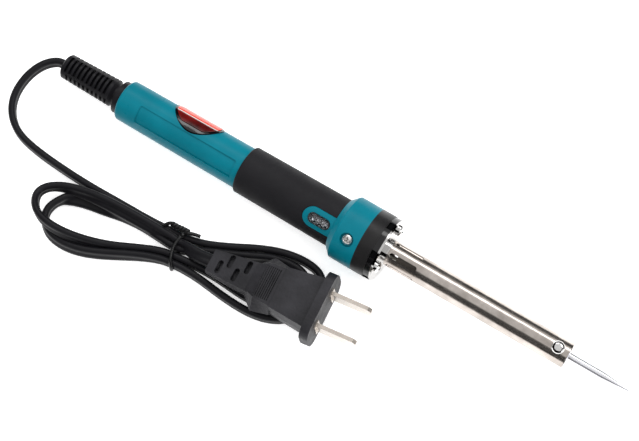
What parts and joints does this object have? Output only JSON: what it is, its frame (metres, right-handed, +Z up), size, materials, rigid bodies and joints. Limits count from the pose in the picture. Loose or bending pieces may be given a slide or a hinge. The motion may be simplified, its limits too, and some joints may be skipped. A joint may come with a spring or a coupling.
{
  "type": "soldering iron",
  "caption": "Mains soldering iron with a rubber grip, a temperature thumbwheel in a window, a vented steel barrel, a pencil tip, and a tied flat twin cord with a two-blade plug.",
  "frame": {"origin": "on the table, under the middle of the iron without its cord", "axes": "+X along the iron towards its tip, +Z up, -Y towards the tied cord and the plug"},
  "size_m": [0.2498, 0.0725, 0.0252],
  "materials": {
    "teal_plastic": "semi-gloss moulded plastic",
    "grip_rubber": "soft matte rubber",
    "badge_film": "glossy printed film, no text",
    "bezel_metal": "satin",
    "wheel_plastic": "matte, knurled",
    "brass": "plain",
    "board_laminate": "solder-masked laminate",
    "component_plastic": "moulded",
    "film_plastic": "dipped",
    "screw_steel": "plated",
    "bakelite": "satin black phenolic",
    "band_plastic": "glossy black phenolic",
    "plate_steel": "bright plated",
    "barrel_steel": "polished stainless",
    "tip_plating": "bright plated",
    "heater_ceramic": "matte fired",
    "heater_wire": "resistance wire",
    "mica": "mica sheet",
    "lead_insulation": "glass-fibre sleeve",
    "boot_rubber": "soft matte",
    "cord_plastic": "soft PVC",
    "plug_plastic": "moulded PVC",
    "blade_metal": "nickel-plated brass"
  },
  "bodies": {
    "iron": {"handle_body": "teal_plastic", "grip_sleeve": "grip_rubber", "badge": "badge_film", "window_bezel": "bezel_metal", "potentiometer": "component_plastic", "circuit_board": "board_laminate", "triac": "component_plastic", "capacitor": "film_plastic", "collar_screw": "screw_steel", "insulator_ring": "bakelite", "spacer_band": "band_plastic", "flange_plate": "plate_steel", "flange_screws": "screw_steel", "barrel_tube": "barrel_steel", "tip_bush": "brass", "heater_former": "heater_ceramic", "heater_winding": "heater_wire", "mica_sleeve": "mica", "heater_leads": "lead_insulation", "crimp_sleeves": "brass", "mains_leads": "lead_insulation", "strain_relief": "boot_rubber", "cord": "cord_plastic", "cord_hank": "cord_plastic", "twist_tie": "cord_plastic", "plug_body": "plug_plastic", "plug_blades": "blade_metal"},
    "wheel": {"temperature_wheel": "wheel_plastic", "wheel_spindle": "brass"},
    "bit": {"tip": "tip_plating"},
    "set_screw": {"tip_set_screw": "screw_steel"}
  },
  "joints": [
    {"name": "temperature_dial", "type": "hinge", "parent": "iron", "child": "wheel", "pos_m": [-0.00311, -0.00095, 0.0133], "axis": [-0.0261, 0.8192, 0.573], "range_deg": [-135, 135]},
    {"name": "tip_withdrawal", "type": "slide", "parent": "iron", "child": "bit", "axis": [0.999, 0, 0.0456], "range_m": [0, 0.048]},
    {"name": "set_screw_turn", "type": "hinge", "parent": "iron", "child": "set_screw", "pos_m": [0.09088, -0.00078, 0.02115], "axis": [-0.045, -0.1564, 0.9867], "range_deg": [0, 720]}
  ]
}
